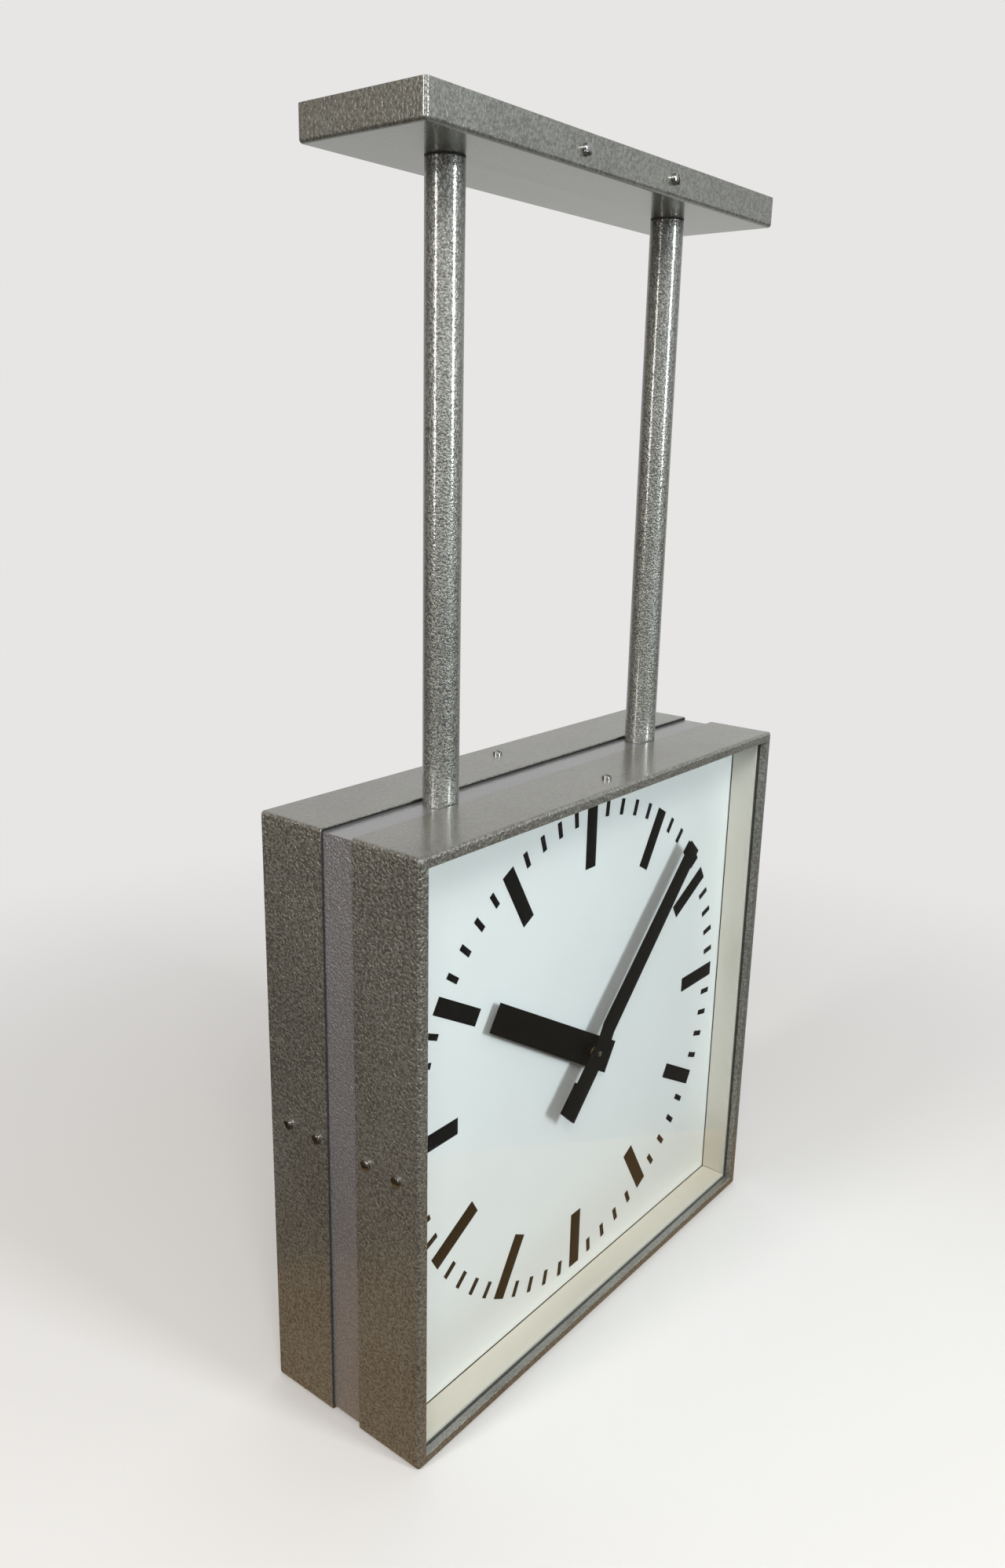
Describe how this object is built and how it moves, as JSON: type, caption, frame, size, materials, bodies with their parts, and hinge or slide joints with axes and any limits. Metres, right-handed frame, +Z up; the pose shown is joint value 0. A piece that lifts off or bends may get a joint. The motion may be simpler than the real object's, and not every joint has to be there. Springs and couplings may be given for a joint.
{
  "type": "double-sided hanging clock",
  "caption": "Square hanging clock with a glazed dial on each face, carried on drop tubes under a ceiling canopy, with a pulse-driven movement behind each dial.",
  "frame": {"origin": "middle of the case's underside, at the lowest point of the whole clock", "axes": "+Z up along the drop tubes, +X to the right of a viewer of the front dial, +Y from the front dial to the rear dial"},
  "size_m": [0.5062, 0.161, 0.97],
  "materials": {
    "hammer_paint": "glossy hammer-finish enamel with a fine wrinkled cell pattern, grey-green",
    "band_paint": "smooth satin enamel, bluish grey",
    "cream_paint": "satin off-white enamel",
    "dial_paint": "satin cool white enamel",
    "mark_print": "matt black printed ink",
    "hand_paint": "satin black enamel",
    "glass": "clear float glass",
    "seal": "black rubber sealing strip and rings",
    "zinc": "bright zinc plated steel",
    "steel": "plain satin steel",
    "brass": "satin brass",
    "coil_wire": "lacquered copper winding on a moulded bobbin",
    "wire_lacquer": "thin lacquered hook-up wire",
    "lead_sheath": "black sheathed lead",
    "block_plastic": "black moulded insulator"
  },
  "bodies": {
    "case": {"carcass": "band_paint", "tube_rail": "steel", "movement_bar": "steel", "bar_screws": "steel", "case_terminal_block": "block_plastic", "coil_leads": "wire_lacquer", "left_tube": "hammer_paint", "right_tube": "hammer_paint", "tube_seals": "seal", "tube_nuts": "zinc", "tube_washers": "zinc", "supply_lead": "lead_sheath", "canopy": "hammer_paint", "canopy_screws": "zinc", "ceiling_plate": "zinc", "tube_flanges": "zinc", "flange_screws": "zinc", "canopy_terminal_block": "block_plastic", "front_cover": "hammer_paint", "front_cover_screws": "zinc", "front_glass": "glass", "front_glass_seal": "seal", "front_liner": "cream_paint", "front_dial": "dial_paint", "front_dial_marks": "mark_print", "front_inner_plate": "brass", "front_outer_plate": "brass", "front_pillars": "brass", "front_movement_screws": "steel", "front_coil": "coil_wire", "front_stator": "steel", "rear_cover": "hammer_paint", "rear_cover_screws": "zinc", "rear_glass": "glass", "rear_glass_seal": "seal", "rear_liner": "cream_paint", "rear_dial": "dial_paint", "rear_dial_marks": "mark_print", "rear_inner_plate": "brass", "rear_outer_plate": "brass", "rear_pillars": "brass", "rear_movement_screws": "steel", "rear_coil": "coil_wire", "rear_stator": "steel"},
    "front_minute": {"front_minute_arbor": "brass", "front_minute_hand": "hand_paint", "front_hand_screw": "zinc"},
    "front_hour": {"front_hour_wheel": "brass", "front_hour_hand": "hand_paint"},
    "front_motion": {"front_motion_wheel": "brass"},
    "front_intermediate": {"front_intermediate_wheel": "brass"},
    "front_rotor": {"front_rotor": "steel"},
    "rear_minute": {"rear_minute_arbor": "brass", "rear_minute_hand": "hand_paint", "rear_hand_screw": "zinc"},
    "rear_hour": {"rear_hour_wheel": "brass", "rear_hour_hand": "hand_paint"},
    "rear_motion": {"rear_motion_wheel": "brass"},
    "rear_intermediate": {"rear_intermediate_wheel": "brass"},
    "rear_rotor": {"rear_rotor": "steel"}
  },
  "joints": [
    {"name": "front_minute_turn", "type": "hinge", "parent": "case", "child": "front_minute", "pos_m": [0, -0.03, 0.25], "axis": [0, 1, 0], "continuous": true},
    {"name": "front_hour_turn", "type": "hinge", "parent": "case", "child": "front_hour", "pos_m": [0, -0.045, 0.25], "axis": [0, 1, 0], "continuous": true},
    {"name": "front_motion_turn", "type": "hinge", "parent": "case", "child": "front_motion", "pos_m": [0, -0.035, 0.274], "axis": [0, 1, 0], "continuous": true},
    {"name": "front_intermediate_turn", "type": "hinge", "parent": "case", "child": "front_intermediate", "pos_m": [0, -0.02, 0.2212], "axis": [0, 1, 0], "continuous": true},
    {"name": "front_rotor_turn", "type": "hinge", "parent": "case", "child": "front_rotor", "pos_m": [0, -0.02, 0.2002], "axis": [0, 1, 0], "continuous": true},
    {"name": "rear_minute_turn", "type": "hinge", "parent": "case", "child": "rear_minute", "pos_m": [0, 0.03, 0.25], "axis": [0, -1, 0], "continuous": true},
    {"name": "rear_hour_turn", "type": "hinge", "parent": "case", "child": "rear_hour", "pos_m": [0, 0.045, 0.25], "axis": [0, -1, 0], "continuous": true},
    {"name": "rear_motion_turn", "type": "hinge", "parent": "case", "child": "rear_motion", "pos_m": [0, 0.035, 0.274], "axis": [0, -1, 0], "continuous": true},
    {"name": "rear_intermediate_turn", "type": "hinge", "parent": "case", "child": "rear_intermediate", "pos_m": [0, 0.02, 0.2212], "axis": [0, -1, 0], "continuous": true},
    {"name": "rear_rotor_turn", "type": "hinge", "parent": "case", "child": "rear_rotor", "pos_m": [0, 0.02, 0.2002], "axis": [0, -1, 0], "continuous": true}
  ],
  "couplings": [
    {"joint": "front_hour_turn", "follows": "front_minute_turn", "ratio": 0.083333},
    {"joint": "front_motion_turn", "follows": "front_minute_turn", "ratio": -0.33333},
    {"joint": "front_intermediate_turn", "follows": "front_minute_turn", "ratio": -5},
    {"joint": "front_rotor_turn", "follows": "front_minute_turn", "ratio": 30},
    {"joint": "rear_hour_turn", "follows": "rear_minute_turn", "ratio": 0.083333},
    {"joint": "rear_motion_turn", "follows": "rear_minute_turn", "ratio": -0.33333},
    {"joint": "rear_intermediate_turn", "follows": "rear_minute_turn", "ratio": -5},
    {"joint": "rear_rotor_turn", "follows": "rear_minute_turn", "ratio": 30}
  ]
}
